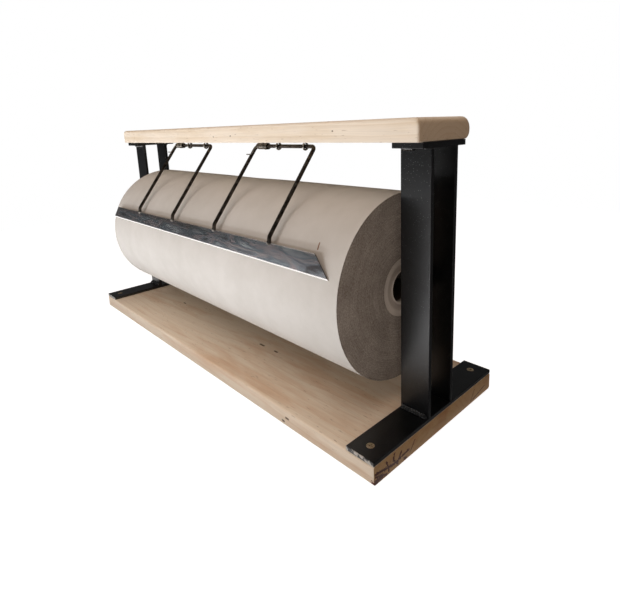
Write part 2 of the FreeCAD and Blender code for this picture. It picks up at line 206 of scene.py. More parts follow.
def add(tree, kind, sockets=None, stops=(), **settings):
    """Add one node with its settings. A Mix mixes colours.

    A socket takes a value, a hex colour, another node's output, or a node for its first live output.
    """
    node = tree.nodes.new("ShaderNode" + kind)
    if kind == "Mix":
        node.data_type = "RGBA"
    for name, value in settings.items():
        setattr(node, name, value)
    live = [socket for socket in node.inputs if socket.enabled and not socket.is_unavailable]
    for name, value in (sockets or {}).items():
        socket = live[name] if isinstance(name, int) else next(one for one in live if one.name == name)
        if isinstance(value, str):
            value = colour(value)
        if isinstance(value, bpy.types.Node):
            value = next(one for one in value.outputs if one.enabled and not one.is_unavailable)
        if isinstance(value, bpy.types.NodeSocket):
            tree.links.new(value, socket)
        else:
            socket.default_value = value
    for number, (position, tint) in enumerate(stops):
        elements = node.color_ramp.elements
        element = elements[number] if number < len(elements) else elements.new(position)
        element.position = position
        element.color = colour(tint) if isinstance(tint, str) else (tint, tint, tint, 1)
    return node


def new_finish(name, roughness, gloss=0.5, metallic=0.0):
    """A material with its shader. Returns the material, its tree, the shader and the object position."""
    finish = bpy.data.materials.new(name)
    finish.use_nodes = True
    tree = finish.node_tree
    shader = tree.nodes["Principled BSDF"]
    shader.inputs["Roughness"].default_value = roughness
    shader.inputs["Specular IOR Level"].default_value = gloss
    shader.inputs["Metallic"].default_value = metallic
    return finish, tree, shader, add(tree, "TexCoord").outputs["Object"]


def dress(tree, shader, tint, height, strength, depth):
    """Give a shader its colour and the fine relief that it shows."""
    bump = add(tree, "Bump", {"Height": height, "Strength": strength, "Distance": depth})
    for source, name in ((tint, "Base Color"), (bump, "Normal")):
        live = next(one for one in source.outputs if one.enabled and not one.is_unavailable)
        tree.links.new(live, shader.inputs[name])


def off_roll_axis(tree, place):
    """How far a point is from the roll's axis."""
    split = add(tree, "SeparateXYZ", {"Vector": place})
    above = add(tree, "Math", {0: split.outputs["Z"], 1: roll_z}, operation="SUBTRACT")
    beside = add(tree, "Math", {0: split.outputs["Y"], 1: roll_y}, operation="SUBTRACT")
    flat = add(tree, "CombineXYZ", {"X": beside, "Y": above})
    return add(tree, "VectorMath", {0: flat}, operation="LENGTH")


def strokes(tree, place, marks, ragged):
    """1 inside the marks and 0 outside. A mark has its start, its run and its reach sideways, in mm."""
    unrest = add(tree, "TexNoise", {"Vector": place, "Scale": 500.0, "Detail": 3.0})
    share = None
    for x, y, z, run_x, run_y, run_z, reach in marks:
        run = Vector((run_x, run_y, run_z)) * MM
        away = add(tree, "VectorMath", {0: place, 1: (x * MM, y * MM, z * MM)}, operation="SUBTRACT")
        along = add(tree, "VectorMath", {0: away, 1: run / run.length_squared}, operation="DOT_PRODUCT")
        clamped = add(tree, "Clamp", {"Value": along})
        nearest = add(tree, "VectorMath", {0: run, "Scale": clamped}, operation="SCALE")
        beside = add(tree, "VectorMath", {0: away, 1: nearest}, operation="SUBTRACT")
        length = add(tree, "VectorMath", {0: beside}, operation="LENGTH")
        rough = -ragged * reach * MM
        uneven = add(tree, "Math", {0: unrest, 1: rough, 2: length}, operation="MULTIPLY_ADD")
        full, none = (0.5 - 0.5 * ragged) * reach * MM, (1 - 0.5 * ragged) * reach * MM
        inside = add(tree, "MapRange", {"Value": uneven, "From Min": full, "From Max": none,
                                        "To Min": 1.0, "To Max": 0.0})
        share = inside if share is None else add(tree, "Math", {0: share, 1: inside}, operation="MAXIMUM")
    return share


# Pine, planed and sanded softwood: growth rings run as long faint flames on the faces and as arcs on the
# ends, with warm blotches, short resin flecks, small dark specks and knots. Real fibres of 0.05 mm are
# drawn about 1 mm wide, so that they show.

def pine(name, early, late, blotch, ring_spacing, ring_strength, pith, tilt, wander_reach, end_tint,
         specks, knots):
    finish, tree, shader, place = new_finish(name, 0.62, 0.3)
    split = add(tree, "SeparateXYZ", {"Vector": place})
    slow_place = add(tree, "VectorMath", {0: place, 1: (2.0, 11.0, 11.0)}, operation="MULTIPLY")
    wander = add(tree, "TexNoise", {"Vector": slow_place, "Scale": 1.0, "Detail": 3.0, "Roughness": 0.5})
    shift = add(tree, "MapRange", {"Value": wander, "From Min": 0.2, "From Max": 0.8,
                                   "To Min": -wander_reach, "To Max": wander_reach})
    lifted = add(tree, "Math", {0: split.outputs["X"], 1: tilt, 2: split.outputs["Z"]},
                 operation="MULTIPLY_ADD")
    away_y = add(tree, "Math", {0: split.outputs["Y"], 1: pith[0]}, operation="SUBTRACT")
    away_z = add(tree, "Math", {0: lifted, 1: pith[1]}, operation="SUBTRACT")
    flat = add(tree, "CombineXYZ", {"X": away_y, "Y": away_z})
    from_pith = add(tree, "VectorMath", {0: flat}, operation="LENGTH")
    bent = add(tree, "Math", {0: from_pith, 1: shift}, operation="ADD")
    knot_share = strokes(tree, place, knots, 3.0)
    pulled = add(tree, "Math", {0: knot_share, 1: 6 * MM, 2: bent}, operation="MULTIPLY_ADD")
    turns = add(tree, "Math", {0: pulled, 1: ring_spacing}, operation="DIVIDE")
    ring = add(tree, "Math", {0: turns}, operation="FRACT")
    late_wood = add(tree, "ValToRGB", {"Fac": ring},
                    stops=((0.0, 0.05), (0.5, 0.16), (0.8, 0.6), (0.93, 1.0), (1.0, 0.05)))
    patch_place = add(tree, "VectorMath", {0: place, 1: (5.0, 26.0, 26.0)}, operation="MULTIPLY")
    patches = add(tree, "TexNoise", {"Vector": patch_place, "Scale": 1.0, "Detail": 4.0, "Roughness": 0.62})
    fading = add(tree, "MapRange", {"Value": patches, "From Min": 0.35, "From Max": 0.7,
                                    "To Min": 0.3 * ring_strength, "To Max": ring_strength})
    strength = add(tree, "Math", {0: late_wood, 1: fading}, operation="MULTIPLY")
    ringed = add(tree, "Mix", {"Factor": strength, "A": early, "B": late})
    warm = add(tree, "MapRange", {"Value": patches, "From Min": 0.5, "From Max": 0.72, "To Max": 0.75})
    blotched = add(tree, "Mix", {"Factor": warm, "A": ringed, "B": blotch})
    fibre_place = add(tree, "VectorMath", {0: place, 1: (22.0, 850.0, 850.0)}, operation="MULTIPLY")
    fibre = add(tree, "TexNoise", {"Vector": fibre_place, "Scale": 1.0, "Detail": 4.0, "Roughness": 0.65})
    fibre_tone = add(tree, "ValToRGB", {"Fac": fibre}, stops=((0.25, 0.84), (0.7, 1.0)))
    toned = add(tree, "Mix", {"Factor": 0.8, "A": blotched, "B": fibre_tone}, blend_type="MULTIPLY")
    fleck_place = add(tree, "VectorMath", {0: place, 1: (90.0, 700.0, 700.0)}, operation="MULTIPLY")
    flecks = add(tree, "TexNoise", {"Vector": fleck_place, "Scale": 1.0, "Detail": 1.0})
    fleck = add(tree, "MapRange", {"Value": flecks, "From Min": 0.7, "From Max": 0.78, "To Max": 0.55})
    flecked = add(tree, "Mix", {"Factor": fleck, "A": toned, "B": "#8f6f4f"})
    speck_share = strokes(tree, place, specks, 1.6)
    specked = add(tree, "Mix", {"Factor": speck_share, "A": flecked, "B": "#5b4634"})
    knotted = add(tree, "Mix", {"Factor": knot_share, "A": specked, "B": "#64392a"})
    facing = add(tree, "SeparateXYZ", {"Vector": add(tree, "NewGeometry").outputs["Normal"]})
    end_on = add(tree, "Math", {0: facing.outputs["X"]}, operation="ABSOLUTE")
    end_share = add(tree, "MapRange", {"Value": end_on, "From Min": 0.55, "From Max": 0.95})
    ended = add(tree, "Mix", {"Factor": end_share, "A": knotted, "B": end_tint}, blend_type="MULTIPLY")
    relief = add(tree, "Math", {0: fibre, 1: strength}, operation="ADD")
    dress(tree, shader, ended, relief, 0.3, 0.12 * MM)
    return finish


# Black enamel, gloss paint sprayed on hot rolled flat bar: near black, with a grainy sheen from orange
# peel, fine light flecks that lie thicker towards the top, partly dust and partly painted glints of light,
# and bare metal where the foot's front end was knocked. Real dust of 0.1 mm is drawn as specks of about 0.5
# mm.

def black_enamel(name, roughness, gloss):
    finish, tree, shader, place = new_finish(name, roughness, gloss)
    peel = add(tree, "TexNoise", {"Vector": place, "Scale": 620.0, "Detail": 2.0, "Roughness": 0.6})
    lumps = add(tree, "TexNoise", {"Vector": place, "Scale": 60.0, "Detail": 3.0})
    # Light flecks, partly dust and partly painted glints of light, thicker towards the top.
    fleck_cells = add(tree, "TexVoronoi", {"Vector": place, "Scale": 430.0})
    fleck_area = add(tree, "TexNoise", {"Vector": place, "Scale": 22.0, "Detail": 2.0})
    specks = add(tree, "MapRange", {"Value": fleck_cells, "From Min": 0.07, "From Max": 0.16,
                                    "To Min": 0.55, "To Max": 0.0})
    by_area = add(tree, "MapRange", {"Value": fleck_area, "From Min": 0.38, "From Max": 0.6, "To Min": 0.2})
    split = add(tree, "SeparateXYZ", {"Vector": place})
    thin_below, thick_above = 80 * MM, 300 * MM
    by_height = add(tree, "MapRange", {"Value": split.outputs["Z"], "From Min": thin_below,
                                       "From Max": thick_above, "To Min": 0.25})
    allowed = add(tree, "Math", {0: by_area, 1: by_height}, operation="MULTIPLY")
    overlay_share = add(tree, "Math", {0: specks, 1: allowed}, operation="MULTIPLY")
    tone = add(tree, "ValToRGB", {"Fac": lumps}, stops=((0.3, "#08090a"), (0.7, "#101214")))
    dust_and_sparkle = add(tree, "Mix", {"Factor": overlay_share, "A": tone, "B": "#b4b8ba"})
    at_end = add(tree, "MapRange", {"Value": split.outputs["Y"], "From Min": stand_low.y + 0.25 * MM,
                                    "From Max": stand_low.y + 0.7 * MM, "To Min": 1.0, "To Max": 0.0})
    chip_noise = add(tree, "TexNoise", {"Vector": place, "Scale": 160.0, "Detail": 4.0, "Roughness": 0.6})
    chips = add(tree, "MapRange", {"Value": chip_noise, "From Min": 0.5, "From Max": 0.55})
    chipped = add(tree, "Math", {0: at_end, 1: chips}, operation="MULTIPLY")
    worn = add(tree, "Mix", {"Factor": chipped, "A": dust_and_sparkle, "B": "#b4b0a8"})
    dress(tree, shader, worn, peel, 0.6, 0.15 * MM)
    return finish


# Mill steel strip, cold rolled: smooth and blotched blue grey where oil has dried, with painted shade that
# darkens it towards the right, a painted brown reflection below the upper edge at the left, a painted
# highlight just below the upper edge, and paler along the lower edge, partly bare ground steel and partly a
# painted highlight. The grinding lines are drawn 0.7 mm apart, so that they show.

def mill_steel(name):
    finish, tree, shader, place = new_finish(name, 0.26, 0.5, 1.0)
    from_edge = add(tree, "VectorMath", {0: place, 1: blade_edge}, operation="SUBTRACT")
    up = add(tree, "VectorMath", {0: from_edge, 1: blade_up}, operation="DOT_PRODUCT")
    # Paler along the lower edge: partly bare ground steel, partly a painted highlight.
    ground = add(tree, "MapRange", {"Value": up, "From Min": 1.9 * MM, "From Max": 2.1 * MM,
                                    "To Min": 1.0, "To Max": 0.0})
    patch_place = add(tree, "VectorMath", {0: place, 1: (17.0, 75.0, 75.0)}, operation="MULTIPLY")
    patches = add(tree, "TexNoise", {"Vector": patch_place, "Scale": 1.0, "Detail": 4.0, "Roughness": 0.55,
                                     "Distortion": 0.2})
    tone = add(tree, "ValToRGB", {"Fac": patches}, stops=(
        (0.32, "#837f80"), (0.42, "#bfc4ca"), (0.48, "#ddcfce"), (0.56, "#a0aab1"), (0.68, "#e4e7e9")))
    split = add(tree, "SeparateXYZ", {"Vector": place})
    lower_edge_half, top_edge_half = 290 * MM, 270 * MM
    along = add(tree, "MapRange", {"Value": split.outputs["X"], "From Min": -lower_edge_half,
                                   "From Max": lower_edge_half})
    # Painted shade: the strip grows darker towards its right end.
    painted_shade_to_right = add(tree, "ValToRGB", {"Fac": along}, stops=((0.3, 1.0), (0.5, 0.5), (1.0, 0.25)))
    shaded_to_right = add(tree, "Mix", {"Factor": 1.0, "A": tone, "B": painted_shade_to_right}, blend_type="MULTIPLY")
    # A painted reflection: brown below the upper edge, towards the left end.
    to_left = add(tree, "MapRange", {"Value": split.outputs["X"], "From Min": -50 * MM,
                                     "From Max": 100 * MM, "To Min": 1.0, "To Max": 0.15})
    high = add(tree, "MapRange", {"Value": up, "From Min": 15 * MM, "From Max": 20 * MM, "To Max": 0.5})
    brown = add(tree, "Math", {0: to_left, 1: high}, operation="MULTIPLY")
    with_painted_reflection = add(tree, "Mix", {"Factor": brown, "A": shaded_to_right, "B": "#6a5a4e"})
    # A painted highlight: a pale band just below the upper edge.
    top_line = add(tree, "MapRange", {"Value": split.outputs["X"], "From Min": -top_edge_half,
                                      "From Max": top_edge_half, "To Min": blade_left_width,
                                      "To Max": blade_right_width})
    below_top = add(tree, "Math", {0: top_line, 1: up}, operation="SUBTRACT")
    painted_edge_highlight = add(tree, "MapRange", {"Value": below_top, "From Min": 0.5 * MM, "From Max": 1.1 * MM,
                                    "To Min": 0.7, "To Max": 0.0})
    edge_highlighted = add(tree, "Mix", {"Factor": painted_edge_highlight, "A": with_painted_reflection, "B": "#c9c2bb"})
    stains = strokes(tree, place, ((63, -108, 214, 1, 0, 0, 1.4), (160, -107, 207, 1, 0, 0, 1.2),
                                   (214, -107, 210, 1, 0, 0, 1.6), (112, -107, 205, 0, 0, 8, 1.2)), 0.7)
    stain = add(tree, "Math", {0: stains, 1: 0.6}, operation="MULTIPLY")
    stained = add(tree, "Mix", {"Factor": stain, "A": edge_highlighted, "B": "#3a3a3c"})
    ground_edge_and_highlight = add(tree, "Mix", {"Factor": ground, "A": stained, "B": "#dcdad8"})
    line_place = add(tree, "VectorMath", {0: place, 1: (1400.0, 50.0, 50.0)}, operation="MULTIPLY")
    lines = add(tree, "TexNoise", {"Vector": line_place, "Scale": 1.0, "Detail": 2.0})
    dress(tree, shader, ground_edge_and_highlight, lines, 0.18, 0.03 * MM)
    return finish


# Drawn wire and bar, bare steel: darkened by oil and handling, with a fine grit from the die. Real grit of
# 0.05 mm is drawn as 0.5 mm, so that it shows.

def drawn_steel(name, dark, light, roughness):
    finish, tree, shader, place = new_finish(name, roughness, 0.5, 1.0)
    stains = add(tree, "TexNoise", {"Vector": place, "Scale": 160.0, "Detail": 4.0, "Roughness": 0.6})
    tone = add(tree, "ValToRGB", {"Fac": stains}, stops=((0.35, dark), (0.68, light)))
    grit = add(tree, "TexNoise", {"Vector": place, "Scale": 1800.0, "Detail": 2.0})
    dress(tree, shader, tone, grit, 0.25, 0.05 * MM)
    return finish


# Wrapping paper, smooth and uncoated: matt off-white with a faint cloud of fibres, soft bands across the
# roll from winding, and one small brown tear. Real fibres of 0.02 mm are drawn as 1.5 mm.

def wound_paper(name):
    finish, tree, shader, place = new_finish(name, 0.68, 0.25)
    cloud = add(tree, "TexNoise", {"Vector": place, "Scale": 45.0, "Detail": 5.0, "Roughness": 0.6})
    band_place = add(tree, "VectorMath", {0: place, 1: (18.0, 1.2, 1.2)}, operation="MULTIPLY")
    bands = add(tree, "TexNoise", {"Vector": band_place, "Scale": 1.0, "Detail": 2.0})
    mixed = add(tree, "Math", {0: cloud, 1: bands}, operation="ADD")
    half = add(tree, "Math", {0: mixed, 1: 0.5}, operation="MULTIPLY")
    tone = add(tree, "ValToRGB", {"Fac": half}, stops=((0.35, "#c6c3bd"), (0.65, "#cfccc7")))
    tear = strokes(tree, place, ((264.2, -91.3, 229.2, 0.8, -4, -6.2, 1.2),), 0.8)
    torn = add(tree, "Mix", {"Factor": tear, "A": tone, "B": "#8a6a58"})
    fibres = add(tree, "TexNoise", {"Vector": place, "Scale": 700.0, "Detail": 3.0})
    dress(tree, shader, torn, fibres, 0.12, 0.05 * MM)
    return finish


# The roll's ends, the cut edges of hundreds of layers: grey brown and coarse, with faint rings and light
# flecks of raised fibre. The layers are drawn about 0.9 mm thick where real ones are 0.1 mm.

def layer_edges(name):
    finish, tree, shader, place = new_finish(name, 0.85, 0.2)
    radius = off_roll_axis(tree, place)
    wide_rings = add(tree, "TexNoise", {"W": radius, "Scale": 90.0, "Detail": 3.0}, noise_dimensions="1D")
    fine_rings = add(tree, "TexNoise", {"W": radius, "Scale": 1100.0, "Detail": 2.0}, noise_dimensions="1D")
    specks = add(tree, "TexNoise", {"Vector": place, "Scale": 560.0, "Detail": 3.0, "Roughness": 0.75})
    clouds = add(tree, "TexNoise", {"Vector": place, "Scale": 30.0, "Detail": 3.0})
    rings = add(tree, "Math", {0: wide_rings, 1: 0.35, 2: fine_rings}, operation="MULTIPLY_ADD")
    grain = add(tree, "Math", {0: specks, 1: 2.2, 2: clouds}, operation="MULTIPLY_ADD")
    total = add(tree, "Math", {0: rings, 1: grain}, operation="ADD")
    most = 0.35 + 1 + 2.2 + 1
    share = add(tree, "Math", {0: total, 1: 1 / most}, operation="MULTIPLY")
    tone = add(tree, "ValToRGB", {"Fac": share},
               stops=((0.38, "#827a72"), (0.5, "#a29a92"), (0.64, "#ccc5bd")))
    relief = add(tree, "Math", {0: fine_rings, 1: specks}, operation="ADD")
    dress(tree, shader, tone, relief, 0.6, 0.25 * MM)
    return finish


# Grey board, spiral wound cardboard: paler than the paper's edges, with a light crushed rim, a darker band
# where plies have parted, and painted shade that darkens the bore away from its ends. Plies of 0.5 mm are
# drawn about 1 mm thick.

def grey_board(name):
    finish, tree, shader, place = new_finish(name, 0.88, 0.2)
    radius = off_roll_axis(tree, place)
    share = add(tree, "MapRange", {"Value": radius, "From Min": core_bore_radius, "From Max": core_radius})
    rings = add(tree, "ValToRGB", {"Fac": share},
                stops=((0.0, "#f2ece2"), (0.1, "#ece4da"), (0.2, "#c3bab0"),
                       (0.5, "#cfc6bc"), (0.62, "#e8e0d6"), (1.0, "#e2dad0")))
    plies = add(tree, "TexNoise", {"W": radius, "Scale": 900.0, "Detail": 2.0}, noise_dimensions="1D")
    specks = add(tree, "TexNoise", {"Vector": place, "Scale": 600.0, "Detail": 3.0})
    both = add(tree, "Math", {0: plies, 1: specks}, operation="ADD")
    tone = add(tree, "ValToRGB", {"Fac": add(tree, "Math", {0: both, 1: 0.5}, operation="MULTIPLY")},
               stops=((0.35, 0.72), (0.65, 1.0)))
    toned = add(tree, "Mix", {"Factor": 0.3, "A": rings, "B": tone}, blend_type="MULTIPLY")
    split = add(tree, "SeparateXYZ", {"Vector": place})
    middle, half = (core_low.x + core_high.x) / 2, (core_high.x - core_low.x) / 2
    from_middle = add(tree, "Math", {0: split.outputs["X"], 1: middle}, operation="SUBTRACT")
    along = add(tree, "Math", {0: from_middle}, operation="ABSOLUTE")
    # Painted shade: the bore grows dark away from its ends.
    deep = add(tree, "MapRange", {"Value": along, "From Min": half - 9 * MM, "From Max": half - 1.5 * MM,
                                  "To Min": 1.0, "To Max": 0.0})
    in_bore = add(tree, "MapRange", {"Value": radius, "From Min": core_bore_radius + 0.3 * MM,
                                     "From Max": core_bore_radius + 1.2 * MM, "To Min": 1.0, "To Max": 0.0})
    overlay_share = add(tree, "Math", {0: deep, 1: in_bore}, operation="MULTIPLY")
    bore_shaded = add(tree, "Mix", {"Factor": overlay_share, "A": toned, "B": "#4a423a"})
    dress(tree, shader, bore_shaded, both, 0.4, 0.15 * MM)
    return finish


# Yellow zinc, plated and passivated screw heads: dull straw, rubbed pale by the driver.

def yellow_zinc(name):
    finish, tree, shader, place = new_finish(name, 0.5, 0.5, 1.0)
    stains = add(tree, "TexNoise", {"Vector": place, "Scale": 700.0, "Detail": 3.0})
    tone = add(tree, "ValToRGB", {"Fac": stains},
               stops=((0.35, "#a08a6e"), (0.5, "#cdb696"), (0.68, "#f0dcbc")))
    dress(tree, shader, tone, stains, 0.3, 0.08 * MM)
    return finish


# The marks on the planks, in mm: small dark specks on the front faces and tops, one knot on the back of
# the top plank, and cracks and knots on the right end of the base plank, which are given by their y, z,
# run in y, run in z and reach

top_front, top_back, base_right = -47.5, 49.5, 360
top_specks = tuple((x, top_front, z, 1, 0, 0, 1.1) for x, z in (
    (-304.6, 355.8), (-261.7, 356.2), (-173.2, 355.6), (-10.8, 341.9), (36.3, 342.8), (244.5, 346.1)))
top_knots = ((-150, top_back, 344, 2, 0, 0, 3.2),)
base_specks = ((-198, -32.5, 22, 6, 0, 0, 1.5), (223.5, -120, 12, 4, 0, 0, 1.8), (217, -120, 6, 2, 0, 0, 2),
               (60, -37, 22, 9, 0, 0, 2), (95, -36, 22, 6, 0, 0, 1.7))
end_cracks = ((-117, 12.5, 28.5, -5.5, 2.2), (-88.5, 7, 26.5, 2.5, 1.8), (-100, 16.5, 4.5, -13, 1.6),
              (-87, 18.5, -1.5, -6.5, 1.8), (-88.5, 12, 7, -8, 1.6), (-75, 15, -7, -10, 1.7),
              (-70, 3, 3, -0.6, 2.2), (-50.6, 15.6, -9, -10.5, 0.8), (-119, 3, 11, 1, 4.4),
              (-117, 9, 17, -6.5, 2.0), (106, 10, -30, -6, 0.7), (79, 16.5, -10, -15, 0.7))
base_knots = tuple((base_right, y, z, 0, run_y, run_z, reach) for y, z, run_y, run_z, reach in end_cracks)


# The finishes of this stand

top_pine = pine("planed_pale_pine", "#f6ead8", "#e0cbad", "#e6d3b6", ring_spacing=7.0 * MM,
                ring_strength=0.75, pith=(8 * MM, 300 * MM), tilt=0.004, wander_reach=3.5 * MM,
                end_tint="#e2d7ca", specks=top_specks, knots=top_knots)
base_pine = pine("planed_brown_pine", "#f8ead6", "#dfc4a5", "#dbb592", ring_spacing=8.5 * MM,
                 ring_strength=0.6, pith=(-20 * MM, -40 * MM), tilt=0.035, wander_reach=10 * MM,
                 end_tint="#c3aa86", specks=base_specks, knots=base_knots)
frame_enamel = black_enamel("sprayed_black_enamel", 0.32, 0.55)
bead_enamel = black_enamel("thick_enamel_on_welds", 0.2, 1.0)
blade_steel = mill_steel("cold_rolled_blade_steel")
bail_steel = drawn_steel("oiled_bail_wire", "#2c2723", "#625950", 0.4)
spring_steel = drawn_steel("drawn_spring_wire", "#5a564f", "#a39d94", 0.33)
eye_steel = drawn_steel("galvanised_eye_wire", "#77736c", "#c4c0b8", 0.36)
bead_steel = drawn_steel("bare_weld_bead", "#3b3733", "#77716a", 0.42)
rod_steel = drawn_steel("turned_rod_steel", "#77746f", "#9a9690", 0.32)
paper = wound_paper("smooth_wrapping_paper")
paper_edges = layer_edges("cut_paper_layers")
board = grey_board("spiral_wound_grey_board")
zinc = yellow_zinc("yellow_zinc_plate")


# Planks

def plank(name, node, radii, end_inset, finish, wear, seed):
    """A plank with its own radius at each long edge, eased ends, and edges worn by handling."""
    low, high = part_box(node)
    arc_steps, inner_sections = 7, 116
    lower_front, lower_back, upper_back, upper_front = radii
    across, upward = round((high.y - low.y) / (9 * MM)), round((high.z - low.z) / (6 * MM))

    def section(inset_side, inset_low, inset_top):
        front, back = low.y + inset_side, high.y - inset_side
        bottom, top = low.z + inset_low, high.z - inset_top
        fit = min(1.0, (top - bottom) * 0.96 / (lower_back + upper_back))
        corners = ((front, 1, bottom, 1, lower_front, 180), (back, -1, bottom, 1, lower_back, 270),
                   (back, -1, top, -1, upper_back, 0), (front, 1, top, -1, upper_front, 90))
        arcs = [arc_points((y + way_y * radius * fit, z + way_z * radius * fit), radius * fit, start,
                           arc_steps)
                for y, way_y, z, way_z, radius, start in corners]
        points = []
        for number, arc in enumerate(arcs):
            onward = arcs[(number + 1) % 4][0]
            count = upward if number % 2 else across
            points += arc
            points += [tuple(here + (there - here) * k / count for here, there in zip(arc[-1], onward))
                       for k in range(1, count)]
        return points

    reach = max(end_inset)
    span = high.x - low.x - 2 * reach
    stations = [(low.x + depth, depth) for depth in inset_stations(reach)]
    stations += [(low.x + reach + span * k / inner_sections, None) for k in range(1, inner_sections)]
    stations += [(high.x - depth, depth) for depth in reversed(inset_stations(reach))]
    rings = []
    for x, depth in stations:
        ring = section(*[rounding(depth, radius) for radius in end_inset])
        rings.append([worn(Vector((x, y, z)), low, high, wear, seed) for y, z in ring])
    return new_piece(name, *skin(rings), finish, "stand", 40)


def inset_stations(reach):
    """How far in from a plank's end its sections stand, closer together near the end."""
    steps = 8
    return [reach * (1 - math.cos(math.pi / 2 * k / steps)) for k in range(steps + 1)]


def rounding(depth, radius):
    """How much an eased end draws in at a depth from the end."""
    if depth is None or depth >= radius:
        return 0.0
    return radius - math.sqrt(max(0.0, radius ** 2 - (radius - depth) ** 2))


def worn(point, low, high, wear, seed):
    """Press a point of a plank's skin inwards by up to the wear, unevenly, as planing and handling do."""
    middle = (low + high) / 2
    half = (high - low) / 2
    near_an_edge, on_a_face = 0.86, 0.97
    shares = [abs(point[k] - middle[k]) / half[k] for k in (1, 2)]
    edge = max(0.0, (min(shares) - near_an_edge) / 0.14)
    where = Vector((point.x * 60, point.y * 90, point.z * 90)) + Vector((seed, 0, 0))
    press = wear * (0.5 + 0.5 * noise.noise(where)) * (0.25 + edge * edge * 2.2)
    slow = wear * 0.5 * (0.5 + 0.5 * noise.noise(Vector((point.x * 9, point.y * 30, point.z * 30 + seed))))
    inward = Vector((0, math.copysign(1, middle.y - point.y) if shares[0] > on_a_face else 0,
                     math.copysign(1, middle.z - point.z) if shares[1] > on_a_face else 0))
    return point + inward * (press + slow)


top_board = plank("top_pine_plank", "top_plank", [1.5 * MM, 9 * MM, 9 * MM, 4 * MM],
                  (3 * MM, 2 * MM, 7 * MM), top_pine, 0.12 * MM, 3.0)
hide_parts("top_plank")
base_board = plank("base_pine_plank", "base_plank", [3 * MM, 3 * MM, 2.5 * MM, 2.5 * MM],
                   (0.4 * MM, 0.4 * MM, 0.4 * MM), base_pine, 0.15 * MM, 11.0)
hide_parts("base_plank")


# Roll and core

def lathe(profile, segments, swell=None):
    """Turn (x, radius) points about the roll's axis. Swell may move a point by its place and angle."""
    rings = []
    for x, radius in profile:
        ring = []
        for k in range(segments):
            angle = 2 * math.pi * k / segments
            along, out = swell(x, radius, angle) if swell else (0.0, 0.0)
            r = radius + out
            ring.append(Vector((x + along, roll_y + r * math.cos(angle), roll_z + r * math.sin(angle))))
        rings.append(ring)
    return skin(rings, cap_ends=False)


def paper_swell(x, radius, angle):
    """Soft unevenness of the wound paper: slow waves, a shallow dent on top and loose rims."""
    where = Vector((x * 9, math.cos(angle) * 0.9, math.sin(angle) * 0.9))
    out = 0.1 * MM * noise.noise(where * 2.5)
    dent_x, dent_length, dent_depth = -5 * MM, 50 * MM, 1.0 * MM
    dent_angle, dent_spread = math.radians(88), math.radians(16)
    along = (x - dent_x) / dent_length
    around = (angle - dent_angle) / dent_spread
    out -= dent_depth * math.exp(-along * along - around * around)
    rim_width, rim_depth = 6 * MM, 0.5 * MM
    from_end = min(x - roll_low.x, roll_high.x - x)
    rim = max(0.0, 1 - from_end / rim_width)
    out -= rim * rim_depth * abs(noise.noise(Vector((math.cos(angle) * 7, math.sin(angle) * 7, x * 30))))
    return 0.0, out


def end_swell(side):
    """The uneven end of the winding: fine steps from layer to layer that differ a little round the roll."""
    def swell(x, radius, angle):
        where = Vector((radius * 1400, math.cos(angle) * 0.35, math.sin(angle) * 0.35 + side * 5))
        slow = Vector((radius * 160, math.cos(angle) * 0.8, math.sin(angle) * 0.8 + side * 9))
        depth = 0.22 * MM * (0.5 + 0.5 * noise.noise(where)) + 0.5 * MM * max(0.0, noise.noise(slow))
        return -side * depth, 0.0
    return swell


def roll_of_paper():
    """The paper's face, and its two ends where the layers show."""
    face_steps, end_steps, segments = 130, 150, 288
    length = roll_high.x - roll_low.x
    side = [(roll_low.x + length * k / face_steps, roll_radius) for k in range(face_steps + 1)]
    radii = [core_radius + (roll_radius - core_radius) * k / end_steps for k in range(end_steps + 1)]
    right = [(roll_high.x, r) for r in reversed(radii)]
    left = [(roll_low.x, r) for r in radii]
    ends = joined([lathe(right, segments, end_swell(1)), lathe(left, segments, end_swell(-1))])
    face_piece = new_piece("wound_wrapping_paper", *lathe(side, segments, paper_swell), paper, None, 50)
    end_piece = new_piece("paper_roll_ends", *ends, paper_edges, None, 80)
    for piece in (face_piece, end_piece):
        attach(piece, "roll")
    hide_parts("paper_roll")


def core_tube():
    """The cardboard core, with a crushed rim at its bore and a dished band where plies have parted.

    Each point of the end's section has its distance out from the bore and its depth in from the end, in mm.
    """
    bore, outer = core_bore_radius, core_radius
    left, right = core_low.x, core_high.x
    rim_depth = 2.2
    bore_steps = 60
    end = [(0.0, rim_depth), (0.35, 0.9), (0.6, 0.15), (1.6, 0.0), (2.6, 0.45), (4.0, 0.7), (8.5, 0.7),
           (9.8, 0.2), (12.0, 0.1), (16.3, 0.1)]
    right_end = [(right - depth * MM, bore + out * MM) for out, depth in end]
    left_end = [(left + depth * MM, bore + out * MM) for out, depth in reversed(end)]
    bore_length = right - left - 2 * rim_depth * MM
    inside = [(left + rim_depth * MM + bore_length * k / bore_steps, bore) for k in range(1, bore_steps)]
    outside = [(right, outer), (left, outer)]
    profile = inside + right_end + outside + left_end
    profile.append(profile[0])
    return lathe(profile, 96)


roll_of_paper()
core = new_piece("cardboard_core_tube", *core_tube(), board, "roll", 50)
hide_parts("roll_core")


# Springs and screw eyes

def blade_point(x, up, out):
    """A point on the blade, by its height above the lower back edge and its distance out from it."""
    point = blade_edge + blade_up * up + blade_out * out
    return Vector((x, point.y, point.z))


def blade_width_at(x):
    """The blade's width at x, between its narrow left end and its wide right end."""
    low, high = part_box("cutting_blade")
    top_left, top_right = low.x + blade_left_slant, high.x - blade_right_slant
    share = (x - top_left) / (top_right - top_left)
    return blade_left_width + share * (blade_right_width - blade_left_width)


def arm_line(node, right_arm):
    """The X of a bail's arm and its direction downwards, from the pivot to the knee above the blade."""
    low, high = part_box(node)
    x = high.x - bail_wire_radius if right_arm else low.x + bail_wire_radius
    knee = blade_point(x, blade_width_at(x) + bail_tail_length, blade_thickness / 2)
    return x, (knee - Vector((x, pivot_y, pivot_z))).normalized()


